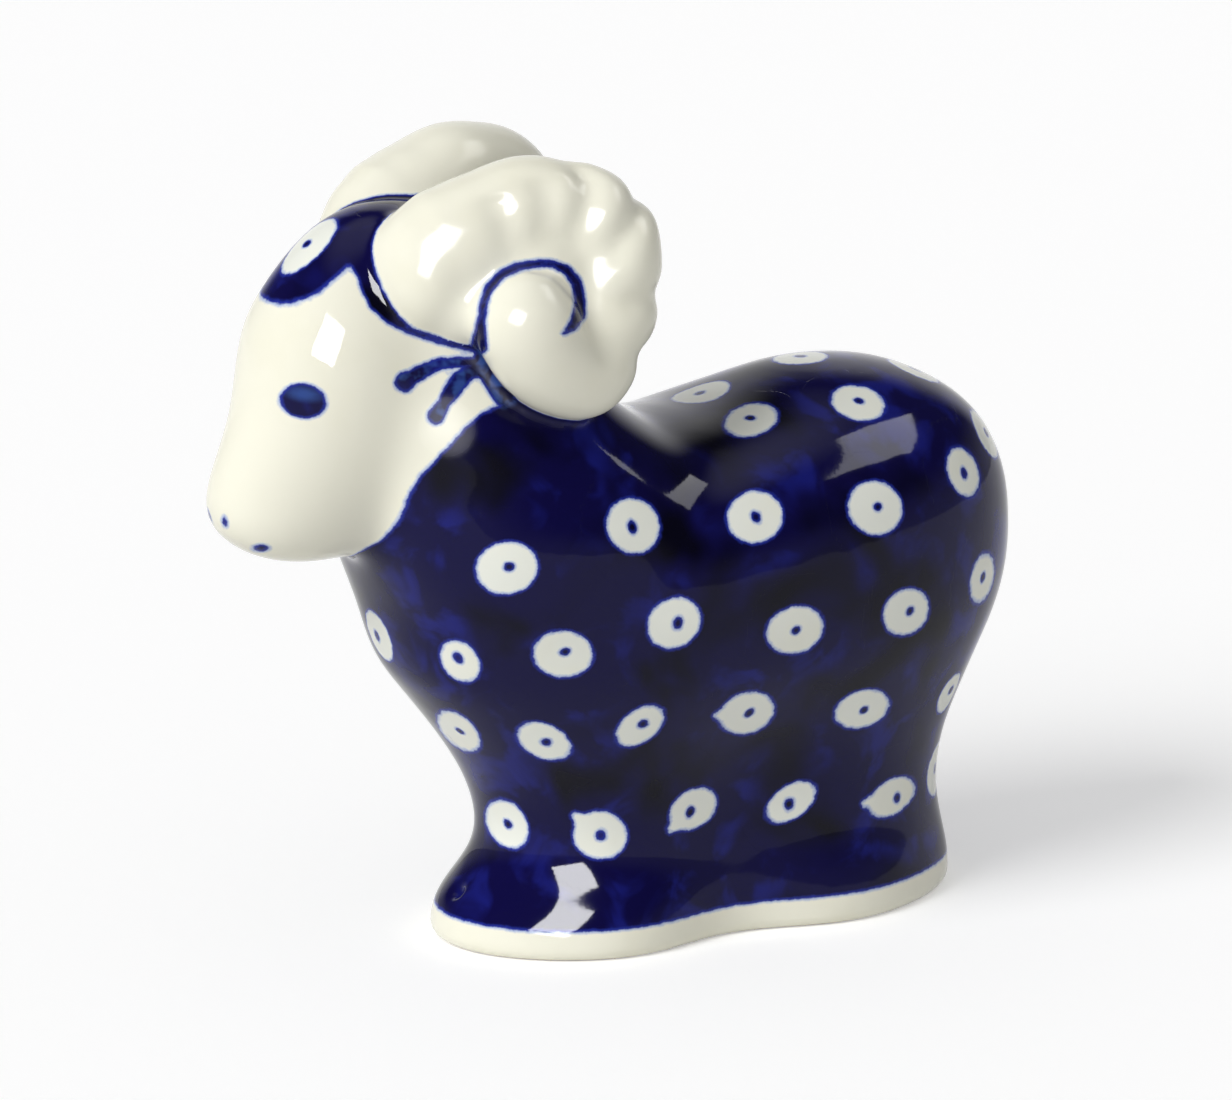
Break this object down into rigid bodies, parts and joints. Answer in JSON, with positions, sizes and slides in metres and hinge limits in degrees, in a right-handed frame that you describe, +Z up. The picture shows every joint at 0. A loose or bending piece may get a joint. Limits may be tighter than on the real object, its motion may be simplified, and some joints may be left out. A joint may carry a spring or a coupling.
{
  "type": "ram figurine",
  "caption": "Standing ram in glazed stoneware: merged leg block with a flat sole, barrel body, drooping head and ribbed horns coiled beside it.",
  "frame": {"origin": "centre of the flat sole", "axes": "+Z up, -Y the way the ram faces, +X its left flank"},
  "size_m": [0.0528, 0.1189, 0.1089],
  "materials": {
    "cobalt_and_cream_glaze": "gloss glaze over cobalt with cream head, horns and foot band"
  },
  "bodies": {
    "root": {"ram_figurine": "cobalt_and_cream_glaze"}
  },
  "joints": []
}
